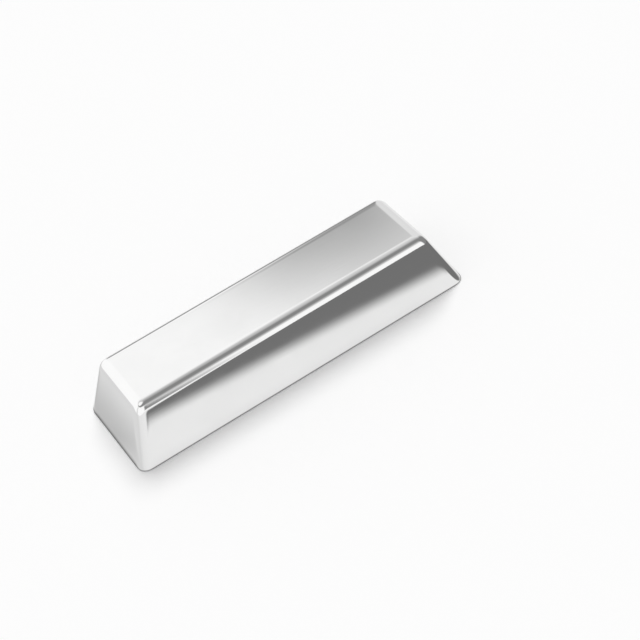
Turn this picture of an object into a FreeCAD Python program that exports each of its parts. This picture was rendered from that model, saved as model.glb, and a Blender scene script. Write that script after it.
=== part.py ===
import FreeCAD, Part

import os

# A cast silver bar of about 5 kg, in the loaf shape that an open mould gives: one
# piece of metal, lying on its large face. Millimetres, +Z up. The origin is the
# middle of the underside, and X runs along the bar.

# Outline of the underside, before its edges are rounded
base_length = 222.0
base_width = 71.0
bar_height = 37.5

# How far the end walls and the side walls lean in over the full height
end_lean = 14.0
side_lean = 10.0

# Roundings: up the slanted corners from foot to head, around the top face, and
# around the underside
corner_radius_foot = 6.5
corner_radius_head = 4.2
top_edge_radius = 4.2
base_edge_radius = 0.8

# Points closer than this are the same point
same_place = 0.001


def level_corners(length, width, height):
    """The four corners of a level rectangle about the Z axis, in order around it."""
    x = length / 2
    y = width / 2
    return [
        FreeCAD.Vector(-x, -y, height),
        FreeCAD.Vector(x, -y, height),
        FreeCAD.Vector(x, y, height),
        FreeCAD.Vector(-x, y, height),
    ]


def flat_face(points):
    return Part.Face(Part.makePolygon(points + points[:1]))


def sharp_bar(feet, heads):
    """The bar with sharp edges: underside, top face and four leaning walls."""
    faces = [flat_face(feet[::-1]), flat_face(heads)]
    for here in range(4):
        there = (here + 1) % 4
        faces.append(flat_face([feet[here], feet[there], heads[there], heads[here]]))
    return Part.makeSolid(Part.makeShell(faces))


def round_slanted_corner(bar, foot, head):
    """Round one corner, with the larger radius at its foot."""
    for edge in bar.Edges:
        start = edge.valueAt(edge.FirstParameter)
        end = edge.valueAt(edge.LastParameter)
        if start.isEqual(foot, same_place) and end.isEqual(head, same_place):
            return bar.makeFillet(corner_radius_foot, corner_radius_head, [edge])
        if start.isEqual(head, same_place) and end.isEqual(foot, same_place):
            return bar.makeFillet(corner_radius_head, corner_radius_foot, [edge])
    raise ValueError("no edge climbs from this corner")


def level_edges(bar, height):
    """The edges that lie in the flat face at one height."""
    return [edge for edge in bar.Edges
            if all(abs(edge.valueAt(at).z - height) < same_place
                   for at in (edge.FirstParameter, edge.LastParameter))]


def build_bar():
    feet = level_corners(base_length, base_width, 0)
    heads = level_corners(base_length - 2 * end_lean, base_width - 2 * side_lean, bar_height)
    bar = sharp_bar(feet, heads)
    for foot, head in zip(feet, heads):
        bar = round_slanted_corner(bar, foot, head)
    bar = bar.makeFillet(top_edge_radius, level_edges(bar, bar_height))
    bar = bar.makeFillet(base_edge_radius, level_edges(bar, 0))
    return bar


os.makedirs("parts", exist_ok=True)
build_bar().exportStep("parts/silver_bar.step")
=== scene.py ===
import math

import bpy
from mathutils import Matrix, Vector


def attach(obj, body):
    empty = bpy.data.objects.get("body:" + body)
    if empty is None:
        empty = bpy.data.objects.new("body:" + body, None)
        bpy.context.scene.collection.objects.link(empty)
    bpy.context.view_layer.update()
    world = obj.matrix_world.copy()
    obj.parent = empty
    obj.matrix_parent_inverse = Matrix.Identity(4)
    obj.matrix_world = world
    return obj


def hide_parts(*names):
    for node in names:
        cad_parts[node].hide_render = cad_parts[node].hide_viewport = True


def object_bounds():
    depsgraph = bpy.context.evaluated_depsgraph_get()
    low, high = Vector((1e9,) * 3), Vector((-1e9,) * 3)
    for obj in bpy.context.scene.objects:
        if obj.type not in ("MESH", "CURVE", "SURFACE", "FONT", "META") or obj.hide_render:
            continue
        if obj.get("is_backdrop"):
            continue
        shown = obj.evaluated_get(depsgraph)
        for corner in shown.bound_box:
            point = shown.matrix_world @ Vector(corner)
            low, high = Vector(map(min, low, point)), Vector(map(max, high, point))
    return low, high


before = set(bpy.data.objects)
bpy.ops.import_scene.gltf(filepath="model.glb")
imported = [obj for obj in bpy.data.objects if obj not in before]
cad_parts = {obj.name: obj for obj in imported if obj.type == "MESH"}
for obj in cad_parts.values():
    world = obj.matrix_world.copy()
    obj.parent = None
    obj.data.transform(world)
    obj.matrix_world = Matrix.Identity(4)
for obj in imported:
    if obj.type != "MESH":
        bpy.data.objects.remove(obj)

cadLow, cadHigh = (Vector(corner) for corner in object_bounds())
scene = bpy.context.scene
print("frame loaded, bar", [round(side, 4) for side in cadHigh - cadLow], "m")


# node inputs are given by name, with _ for a space; a value is a number or another node's output
def addNode(tree, kind, settings=None, **inputs):
    node = tree.nodes.new(kind)
    for name, value in (settings or {}).items():
        setattr(node, name, value)
    for name, value in inputs.items():
        plug(tree, value, node.inputs[name.replace("_", " ")])
    return node


def plug(tree, value, socket):
    if isinstance(value, bpy.types.NodeSocket):
        tree.links.new(value, socket)
    else:
        socket.default_value = value


def math1(tree, operation, *values):
    node = addNode(tree, "ShaderNodeMath", {"operation": operation})
    for value, socket in zip(values, node.inputs):
        plug(tree, value, socket)
    return node.outputs[0]


def blend(tree, under, over, cover):
    return math1(tree, "MULTIPLY_ADD", math1(tree, "SUBTRACT", over, under), cover, under)


# a leaning-walled block whose edges melt into each other
barSize = cadHigh - cadLow
barShape = {
    "Length": barSize.x + 0.0007,    # the base rounding takes this little off the outline
    "Width": barSize.y + 0.0005,
    "Height": barSize.z,
    "End Lean": 0.0140,              # how far the walls lean in over the height
    "Side Lean": 0.0100,
    "Top Reach": 0.0058,             # how far from each edge the rounding starts
    "Foot Reach": 0.0085,            # up the slanted corners, at the foot
    "Head Reach": 0.0058,            # and at the head
    "Base Reach": 0.0009,
    "Fullness": 2.8,                 # 2 is a round edge, more is softer where it starts
}
barMesh = {
    "alongX": 145,                   # grid points on each side
    "alongY": 73,
    "alongZ": 49,
    "rounds": 10,                    # pulls onto the skin
    "core": 0.0090,                  # depth of the inner block that points are pulled from
}


def softMeetTree():
    # two signed distances become one, rounded where they meet
    tree = bpy.data.node_groups.new("softMeet", "GeometryNodeTree")
    for name in ("A", "B", "Reach", "Fullness"):
        tree.interface.new_socket(name, in_out="INPUT", socket_type="NodeSocketFloat")
    tree.interface.new_socket("Distance", in_out="OUTPUT", socket_type="NodeSocketFloat")
    given = tree.nodes.new("NodeGroupInput").outputs
    total = None
    for side in ("A", "B"):
        near = math1(tree, "DIVIDE", given[side], given["Reach"])
        near = math1(tree, "MAXIMUM", math1(tree, "ADD", near, 1.0), 0.0)
        near = math1(tree, "POWER", near, given["Fullness"])
        total = near if total is None else math1(tree, "ADD", total, near)
    root = math1(tree, "POWER", total, math1(tree, "DIVIDE", 1.0, given["Fullness"]))
    distance = math1(tree, "MULTIPLY", math1(tree, "SUBTRACT", root, 1.0), given["Reach"])
    out = tree.nodes.new("NodeGroupOutput")
    tree.links.new(distance, out.inputs["Distance"])
    return tree


def barTree(silver):
    tree = bpy.data.node_groups.new("castBar", "GeometryNodeTree")
    for name in barShape:
        tree.interface.new_socket(name, in_out="INPUT", socket_type="NodeSocketFloat")
    tree.interface.new_socket("Bar", in_out="OUTPUT", socket_type="NodeSocketGeometry")
    given = tree.nodes.new("NodeGroupInput").outputs
    meet = softMeetTree()

    def softMeet(a, b, reach):
        node = addNode(tree, "GeometryNodeGroup", {"node_tree": meet},
                       A=a, B=b, Reach=reach, Fullness=given["Fullness"])
        return node.outputs["Distance"]

    def part(operation, *values):
        return math1(tree, operation, *values)

    # a block of grid points, drawn together towards its edges
    block = addNode(tree, "GeometryNodeMeshCube", Size=(1, 1, 1),
                    Vertices_X=barMesh["alongX"], Vertices_Y=barMesh["alongY"],
                    Vertices_Z=barMesh["alongZ"])
    place = addNode(tree, "ShaderNodeSeparateXYZ",
                    Vector=addNode(tree, "GeometryNodeInputPosition").outputs[0]).outputs
    crowded = [part("MULTIPLY", part("SINE", part("MULTIPLY", axis, math.pi)), 0.5) for axis in place]
    rise = part("ADD", crowded[2], 0.5)
    halfLength = part("SUBTRACT", part("MULTIPLY", given["Length"], 0.5),
                      part("MULTIPLY", given["End Lean"], rise))
    halfWidth = part("SUBTRACT", part("MULTIPLY", given["Width"], 0.5),
                     part("MULTIPLY", given["Side Lean"], rise))
    sharp = addNode(tree, "ShaderNodeCombineXYZ",
                    X=part("MULTIPLY", part("MULTIPLY", crowded[0], 2.0), halfLength),
                    Y=part("MULTIPLY", part("MULTIPLY", crowded[1], 2.0), halfWidth),
                    Z=part("MULTIPLY", rise, given["Height"]))
    blockPlaced = addNode(tree, "GeometryNodeSetPosition", Geometry=block.outputs["Mesh"],
                          Position=sharp.outputs[0])

    # each round pulls every point onto the softened skin, away from an inner core
    start = tree.nodes.new("GeometryNodeRepeatInput")
    end = tree.nodes.new("GeometryNodeRepeatOutput")
    start.pair_with_output(end)
    start.inputs["Iterations"].default_value = barMesh["rounds"]
    tree.links.new(blockPlaced.outputs[0], start.inputs["Geometry"])

    here = addNode(tree, "GeometryNodeInputPosition").outputs[0]
    x, y, z = addNode(tree, "ShaderNodeSeparateXYZ", Vector=here).outputs
    level = part("DIVIDE", z, given["Height"])

    def wallDistance(across, fullSize, lean):
        wallAt = part("SUBTRACT", part("MULTIPLY", fullSize, 0.5), part("MULTIPLY", lean, level))
        gap = part("SUBTRACT", part("ABSOLUTE", across), wallAt)
        slant = part("SQRT", part("ADD", part("POWER", given["Height"], 2.0), part("POWER", lean, 2.0)))
        return part("DIVIDE", part("MULTIPLY", gap, given["Height"]), slant), wallAt

    endGap, endOut = wallDistance(x, given["Length"], given["End Lean"])
    sideGap, sideOut = wallDistance(y, given["Width"], given["Side Lean"])
    cornerReach = blend(tree, given["Foot Reach"], given["Head Reach"], level)
    walls = softMeet(endGap, sideGap, cornerReach)
    crown = softMeet(walls, part("SUBTRACT", z, given["Height"]), given["Top Reach"])
    skin = softMeet(crown, part("MULTIPLY", z, -1.0), given["Base Reach"])

    def toCore(value, low, high):
        return part("MINIMUM", part("MAXIMUM", value, low), high)

    coreX = part("SUBTRACT", endOut, barMesh["core"])
    coreY = part("SUBTRACT", sideOut, barMesh["core"])
    core = addNode(tree, "ShaderNodeCombineXYZ",
                   X=toCore(x, part("MULTIPLY", coreX, -1.0), coreX),
                   Y=toCore(y, part("MULTIPLY", coreY, -1.0), coreY),
                   Z=toCore(z, barMesh["core"], part("SUBTRACT", given["Height"], barMesh["core"])))
    outward = addNode(tree, "ShaderNodeVectorMath", {"operation": "SUBTRACT"})
    tree.links.new(here, outward.inputs[0])
    tree.links.new(core.outputs[0], outward.inputs[1])
    outward = addNode(tree, "ShaderNodeVectorMath", {"operation": "NORMALIZE"},
                      Vector=outward.outputs[0])
    step = addNode(tree, "ShaderNodeVectorMath", {"operation": "SCALE"},
                   Vector=outward.outputs[0], Scale=part("MULTIPLY", skin, -1.0))
    moved = addNode(tree, "GeometryNodeSetPosition", Geometry=start.outputs["Geometry"],
                    Offset=step.outputs[0])
    tree.links.new(moved.outputs[0], end.inputs["Geometry"])

    smooth = addNode(tree, "GeometryNodeSetShadeSmooth", Geometry=end.outputs["Geometry"])
    solid = addNode(tree, "GeometryNodeRealizeInstances", Geometry=smooth.outputs[0])
    finished = addNode(tree, "GeometryNodeSetMaterial", Geometry=solid.outputs[0], Material=silver)
    out = tree.nodes.new("NodeGroupOutput")
    tree.links.new(finished.outputs[0], out.inputs["Bar"])
    return tree


def makeBar(silver):
    bar = bpy.data.objects.new("bar", bpy.data.meshes.new("bar"))
    scene.collection.objects.link(bar)
    shaper = bar.modifiers.new("castBar", "NODES")
    shaper.node_group = barTree(silver)
    for item in shaper.node_group.interface.items_tree:
        if item.in_out == "INPUT":
            shaper[item.identifier] = barShape[item.name]
    shaped = bar.evaluated_get(bpy.context.evaluated_depsgraph_get())
    bar.data = bpy.data.meshes.new_from_object(shaped)
    bar.modifiers.clear()
    return bar


# fine silver, cast and machine polished: bright, with faint haze, hairlines and rubbed edges
silverFinish = {
    "tone": (0.962, 0.978),          # dullest and brightest patches
    "warmth": 0.997,                 # blue against red, silver is hardly warm
    "roughness": (0.040, 0.075),
    "hazeScale": 34.0,               # patches about 3 cm across
    "hazeRange": (0.35, 0.65),       # the part of the noise that is used
    "noiseRoughness": 0.55,
    "hairlineScale": (55.0, 1500.0, 1500.0),
    "hairlineRough": 0.016,
    "hairlineHeight": 0.0000020,
    "waveScale": 21.0,
    "waveHeight": 0.000010,
    "edgeStart": 0.93,               # how squarely a face must look out to be no edge
    "edgeFull": 0.76,
    "edgeRough": 0.035,
    "edgeDull": 0.012,
    "edgeScale": 420.0,
}


def remap(tree, value, fromRange, toRange, smooth=False):
    kind = "SMOOTHSTEP" if smooth else "LINEAR"
    node = addNode(tree, "ShaderNodeMapRange", {"interpolation_type": kind}, Value=value,
                   From_Min=fromRange[0], From_Max=fromRange[1],
                   To_Min=toRange[0], To_Max=toRange[1])
    return node.outputs["Result"]


def makeSilver():
    material = bpy.data.materials.new("polishedSilver")
    material.use_nodes = True
    tree = material.node_tree
    shader = tree.nodes["Principled BSDF"]
    coords = addNode(tree, "ShaderNodeTexCoord").outputs

    def noise(scale, detail, stretch=(1.0, 1.0, 1.0)):
        mapped = addNode(tree, "ShaderNodeMapping", Vector=coords["Object"], Scale=stretch)
        return addNode(tree, "ShaderNodeTexNoise", Vector=mapped.outputs[0], Scale=scale,
                       Detail=detail, Roughness=silverFinish["noiseRoughness"]).outputs["Fac"]

    haze = noise(silverFinish["hazeScale"], 3.0)
    hairlines = noise(1.0, 2.0, silverFinish["hairlineScale"])
    wave = noise(silverFinish["waveScale"], 0.0)

    # an edge is where the skin looks out squarely along no axis
    facing = addNode(tree, "ShaderNodeSeparateXYZ", Vector=coords["Normal"]).outputs
    squarest = None
    for axis in facing:
        size = math1(tree, "ABSOLUTE", axis)
        squarest = size if squarest is None else math1(tree, "MAXIMUM", squarest, size)
    edge = remap(tree, squarest, (silverFinish["edgeStart"], silverFinish["edgeFull"]), (0.0, 1.0), True)
    rubbed = math1(tree, "MULTIPLY", edge, noise(silverFinish["edgeScale"], 4.0))

    rough = remap(tree, haze, silverFinish["hazeRange"], silverFinish["roughness"], True)
    rough = math1(tree, "MULTIPLY_ADD", hairlines, silverFinish["hairlineRough"], rough)
    rough = math1(tree, "MULTIPLY_ADD", rubbed, silverFinish["edgeRough"], rough)

    tone = remap(tree, haze, silverFinish["hazeRange"][::-1], silverFinish["tone"], True)
    tone = math1(tree, "MULTIPLY_ADD", rubbed, -silverFinish["edgeDull"], tone)
    blue = math1(tree, "MULTIPLY", tone, silverFinish["warmth"])
    colour = addNode(tree, "ShaderNodeCombineColor", Red=tone, Green=tone, Blue=blue)

    relief = math1(tree, "MULTIPLY", hairlines, silverFinish["hairlineHeight"])
    relief = math1(tree, "MULTIPLY_ADD", wave, silverFinish["waveHeight"], relief)
    bump = addNode(tree, "ShaderNodeBump", Strength=1.0, Distance=1.0, Height=relief)

    shader.inputs["Metallic"].default_value = 1.0
    tree.links.new(colour.outputs[0], shader.inputs["Base Color"])
    tree.links.new(rough, shader.inputs["Roughness"])
    tree.links.new(bump.outputs[0], shader.inputs["Normal"])
    return material


# pale floor; the metal shows it as a painted reflection: a wide pale sheet that stops at a painted dark
# table in front
floorLook = {
    "halfSide": 3.0,
    "bounce": 0.80,                  # what the floor gives back to the object
    "seen": 0.985,                   # its tone for the camera
    "glow": 0.80,                    # share of the mirrored floor that glows with its painted tone, where no shadow reaches
    "front": 0.83,                   # painted reflection tones: before the bar,
    "leftNear": 0.44,                # beside its left end, darker there as painted shade,
    "leftFar": 0.70,                 # and well away from it
    "leftReach": 0.028,
    "corner": 0.68,                  # off its left front corner
    "behindCorner": (-0.036, 0.010),
    "blend": 0.0003,
    # a dark table that only the metal shows, as a painted reflection
    "paintedDarkTable": 0.165,
    "tableTurn": 15.5,               # degrees between the painted table's edge and the bar
    "tableFront": (0.093, 0.131),    # the soft start of the table, before the bar
    "tableLeft": (-0.148, -0.116),   # and its soft left end
    "gapTurn": 28.0,                 # the painted sheet also stops at the bar's right front corner, a painted dark reflection there
    "gapSide": (0.0797, 0.0832),
    "gapSlope": 0.40,
    "gapSoft": 0.006,
    "contactShadow": 0.10,                 # painted contact shadow: tone right under the rounded base edge
    "contactShadowReach": 0.0036,
    "footRound": 0.0080,
}


def makeFloor():
    side = floorLook["halfSide"]
    mesh = bpy.data.meshes.new("floor")
    mesh.from_pydata([(-side, -side, 0), (side, -side, 0), (side, side, 0), (-side, side, 0)],
                     [], [(0, 1, 2, 3)])
    floor = bpy.data.objects.new("floor", mesh)
    scene.collection.objects.link(floor)
    floor.data.materials.append(makeFloorMaterial())
    floor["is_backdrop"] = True
    return floor


def makeFloorMaterial():
    material = bpy.data.materials.new("paleFloor")
    material.use_nodes = True
    tree = material.node_tree
    tree.nodes.clear()
    coords = addNode(tree, "ShaderNodeTexCoord").outputs["Object"]
    x, y, _ = addNode(tree, "ShaderNodeSeparateXYZ", Vector=coords).outputs
    look = floorLook

    def along(angle):
        # distance from the middle of the bar, measured in one direction
        part = math1(tree, "MULTIPLY", x, math.cos(angle))
        return math1(tree, "MULTIPLY_ADD", y, math.sin(angle), part)

    # the mirrored sheet, a painted reflection: even in front, with painted shade beside the left end
    left = math1(tree, "MAXIMUM", math1(tree, "SUBTRACT", cadLow.x, x), 0.0)
    front = math1(tree, "MAXIMUM", math1(tree, "SUBTRACT", cadLow.y, y), 0.0)
    both = math1(tree, "ADD", math1(tree, "ADD", left, front), look["blend"])
    leftShare = math1(tree, "POWER", math1(tree, "DIVIDE", left, both), 2.0)
    leftPaintedShade = remap(tree, left, (0.0, look["leftReach"]), (look["leftNear"], look["leftFar"]))
    behind = remap(tree, y, look["behindCorner"], (0.0, 1.0), True)
    leftPaintedShade = blend(tree, look["corner"], leftPaintedShade, behind)
    tone = blend(tree, look["front"], leftPaintedShade, leftShare)

    # the painted dark table, beyond the sheet's front edge and past the bar's right front corner
    turn = math.radians(look["tableTurn"])
    paintedDarkTable = math1(tree, "MULTIPLY",
                  remap(tree, along(turn - math.pi / 2), look["tableFront"], (0.0, 1.0), True),
                  remap(tree, along(turn), look["tableLeft"], (0.0, 1.0), True))
    overCorner = math1(tree, "SUBTRACT", math1(tree, "SUBTRACT", y, cadLow.y),
                       math1(tree, "MULTIPLY", math1(tree, "SUBTRACT", x, cadHigh.x), look["gapSlope"]))
    gap = math1(tree, "MULTIPLY",
                remap(tree, along(math.radians(look["gapTurn"])), look["gapSide"], (0.0, 1.0), True),
                remap(tree, overCorner, (-look["gapSoft"], look["gapSoft"]), (1.0, 0.0), True))
    tone = blend(tree, tone, look["paintedDarkTable"], math1(tree, "MAXIMUM", paintedDarkTable, gap))

    # a painted contact shadow: a thin dark line where the bar's rounded base meets the floor
    outX = math1(tree, "SUBTRACT", math1(tree, "ABSOLUTE", x), cadHigh.x - look["footRound"])
    outY = math1(tree, "SUBTRACT", math1(tree, "ABSOLUTE", y), cadHigh.y - look["footRound"])
    corner = math1(tree, "ADD", math1(tree, "POWER", math1(tree, "MAXIMUM", outX, 0.0), 2.0),
                   math1(tree, "POWER", math1(tree, "MAXIMUM", outY, 0.0), 2.0))
    away = math1(tree, "SUBTRACT", math1(tree, "SQRT", corner), look["footRound"])
    tone = math1(tree, "MULTIPLY", tone,
                 remap(tree, away, (0.0, look["contactShadowReach"]), (look["contactShadow"], 1.0), True))

    # mirrored rays see the painted tones above; the camera and matt surfaces see the plain floor
    path = addNode(tree, "ShaderNodeLightPath").outputs
    mirrored = math1(tree, "MAXIMUM", path["Is Glossy Ray"], path["Is Transmission Ray"])
    plain = blend(tree, look["bounce"], look["seen"], path["Is Camera Ray"])
    value = blend(tree, plain, tone, mirrored)
    colour = addNode(tree, "ShaderNodeCombineColor", Red=value, Green=value, Blue=value)
    shaded = addNode(tree, "ShaderNodeBsdfDiffuse", Color=colour.outputs[0])
    glowing = addNode(tree, "ShaderNodeEmission", Color=colour.outputs[0], Strength=1.0)
    # for mirrored rays most of the floor glows with its painted tone
    mixed = addNode(tree, "ShaderNodeMixShader", Fac=math1(tree, "MULTIPLY", mirrored, look["glow"]))
    tree.links.new(shaded.outputs[0], mixed.inputs[1])
    tree.links.new(glowing.outputs[0], mixed.inputs[2])
    out = addNode(tree, "ShaderNodeOutputMaterial")
    tree.links.new(mixed.outputs[0], out.inputs["Surface"])
    return material


# what stands round the bar, by direction in degrees: turn from +X, and rise above the floor
room = {
    "ceiling": 0.24,
    "seen": 0.97,                    # the far background for the camera
    "soft": 0.53,                    # even light on matt surfaces
    "bandTilt": 0.12,                # the far panel's lower edge climbs towards the right
    "bandTurn": 67.0,
}
farPanel = {"tone": 0.995, "low": (37.7, 44.5), "high": (46.0, 88.0),
            "right": (0.0, 58.0), "left": (148.0, 170.0),
            "dim": 0.35, "dimFrom": (42.5, 46.0), "dimTurn": (66.0, 76.0)}
# each panel has soft sides: In runs from none to full, Out from full to none
panels = {
    "far wall": {"tone": 0.31, "turnIn": (60.0, 68.0), "turnOut": (80.0, 90.0),
                 "riseIn": (14.0, 27.0), "riseOut": (36.0, 42.0)},
    "far left wall": {"tone": 0.95, "turnIn": (70.5, 77.5), "turnOut": (85.0, 92.0),
                      "riseIn": (14.0, 27.0), "riseOut": (46.0, 56.0)},
    "right wall": {"tone": 0.74, "turnIn": (22.0, 44.0), "turnOut": (62.0, 69.0),
                   "riseOut": (42.0, 47.0)},
    "left panel": {"tone": 0.99, "turnIn": (81.0, 92.0), "turnOut": (165.0, 195.0),
                   "riseOut": (46.0, 56.0)},
    "front upper panel": {"tone": 0.62, "turnIn": (-81.5, -76.5), "turnOut": (-58.0, -44.0),
                          "riseOut": (38.0, 64.0)},
    "front panel": {"tone": 0.98, "turnIn": (-81.5, -76.5), "turnOut": (-58.0, -44.0),
                    "riseOut": (31.0, 45.0)},
    "upper strip": {"tone": 0.62, "turnIn": (-140.0, -110.0), "turnOut": (-82.0, -77.0),
                    "riseIn": (34.0, 42.0), "riseOut": (48.0, 56.0)},
    "lower strip": {"tone": 1.00, "turnIn": (-140.0, -110.0), "turnOut": (-80.0, -76.0),
                    "riseOut": (2.0, 9.0)},
    "left front panel": {"tone": 0.99, "turnIn": (-195.0, -165.0), "turnOut": (-97.0, -86.0),
                         "riseOut": (46.0, 56.0)},
}
# a soft round light overhead, leaning left so that the front edge never mirrors it
skylight = {"tone": 0.97, "place": (-0.25, 0.10, 0.96), "spread": (22.0, 12.0)}


def makeWorld():
    world = bpy.data.worlds.new("room")
    scene.world = world
    world.use_nodes = True
    tree = world.node_tree
    tree.nodes.clear()
    way = addNode(tree, "ShaderNodeTexCoord").outputs["Generated"]
    x, y, z = addNode(tree, "ShaderNodeSeparateXYZ", Vector=way).outputs
    rise = math1(tree, "DEGREES", math1(tree, "ARCSINE", z))
    turn = math1(tree, "DEGREES", math1(tree, "ARCTAN2", y, x))

    def comesIn(value, span):
        return remap(tree, value, span, (0.0, 1.0), True)

    def goesOut(value, span):
        return remap(tree, value, span, (1.0, 0.0), True)

    def lay(under, over, covers):
        cover = covers[0]
        for more in covers[1:]:
            cover = math1(tree, "MULTIPLY", cover, more)
        return blend(tree, under, over, cover)

    tilted = math1(tree, "MULTIPLY_ADD", math1(tree, "SUBTRACT", turn, room["bandTurn"]),
                   room["bandTilt"], rise)
    dim = math1(tree, "MULTIPLY", comesIn(tilted, farPanel["dimFrom"]), goesOut(turn, farPanel["dimTurn"]))
    value = lay(room["ceiling"], farPanel["tone"], [
        comesIn(tilted, farPanel["low"]),
        remap(tree, tilted, farPanel["high"], (1.0, 0.0)),
        comesIn(turn, farPanel["right"]),
        goesOut(turn, farPanel["left"]),
        math1(tree, "MULTIPLY_ADD", dim, -farPanel["dim"], 1.0),
    ])
    for panel in panels.values():
        covers = [comesIn(turn, panel["turnIn"]), goesOut(turn, panel["turnOut"]),
                  goesOut(rise, panel["riseOut"])]
        if "riseIn" in panel:
            covers.append(comesIn(rise, panel["riseIn"]))
        value = lay(value, panel["tone"], covers)
    overhead = addNode(tree, "ShaderNodeVectorMath", {"operation": "DOT_PRODUCT"})
    plug(tree, way, overhead.inputs[0])
    plug(tree, Vector(skylight["place"]).normalized(), overhead.inputs[1])
    away = math1(tree, "DEGREES", math1(tree, "ARCCOSINE", overhead.outputs["Value"]))
    value = lay(value, skylight["tone"], [comesIn(away, skylight["spread"])])
    path = addNode(tree, "ShaderNodeLightPath").outputs
    value = lay(value, room["seen"], [path["Is Camera Ray"]])
    value = lay(value, room["soft"], [path["Is Diffuse Ray"]])
    shader = addNode(tree, "ShaderNodeBackground", Color=(1.0, 1.0, 1.0, 1.0), Strength=value)
    out = addNode(tree, "ShaderNodeOutputWorld")
    tree.links.new(shader.outputs[0], out.inputs["Surface"])


# one broad soft lamp from behind, so the shadow falls forwards and to the left
lampLook = {"strength": 1.7, "spread": 32.0, "comesFrom": (0.42, 0.50, 1.0)}


def makeLamp():
    data = bpy.data.lights.new("key", "SUN")
    data.energy = lampLook["strength"]
    data.angle = math.radians(lampLook["spread"])
    lamp = bpy.data.objects.new("key", data)
    lamp.rotation_euler = Vector(lampLook["comesFrom"]).to_track_quat("Z", "Y").to_euler()
    lamp.visible_glossy = False
    scene.collection.objects.link(lamp)
    return lamp


# the camera is tipped sideways, as if the bar leaned on another one
cameraLook = {
    "place": (-0.23177, -0.74245, 0.71920),
    "turn": 70.637,                  # degrees from +X
    "rise": -42.479,
    "tip": -17.56,
    "lens": 101.57,
    "sensor": 36.0,
}


def makeCamera():
    data = bpy.data.cameras.new("camera")
    data.lens = cameraLook["lens"]
    data.sensor_width = cameraLook["sensor"]
    turn = math.radians(cameraLook["turn"])
    rise = math.radians(cameraLook["rise"])
    ahead = Vector((math.cos(turn) * math.cos(rise), math.sin(turn) * math.cos(rise), math.sin(rise)))
    level = ahead.to_track_quat("-Z", "Y").to_matrix()
    tipped = level @ Matrix.Rotation(math.radians(cameraLook["tip"]), 3, "Z")
    camera = bpy.data.objects.new("camera", data)
    camera.matrix_world = Matrix.Translation(cameraLook["place"]) @ tipped.to_4x4()
    scene.collection.objects.link(camera)
    scene.camera = camera
    return camera


silver = makeSilver()
bar = makeBar(silver)
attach(bar, "root")
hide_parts("silver_bar")
print("bar made,", len(bar.data.polygons), "faces")

makeFloor()
makeWorld()
makeLamp()
print("studio set")

makeCamera()
scene.view_settings.view_transform = "Standard"
print("camera set")
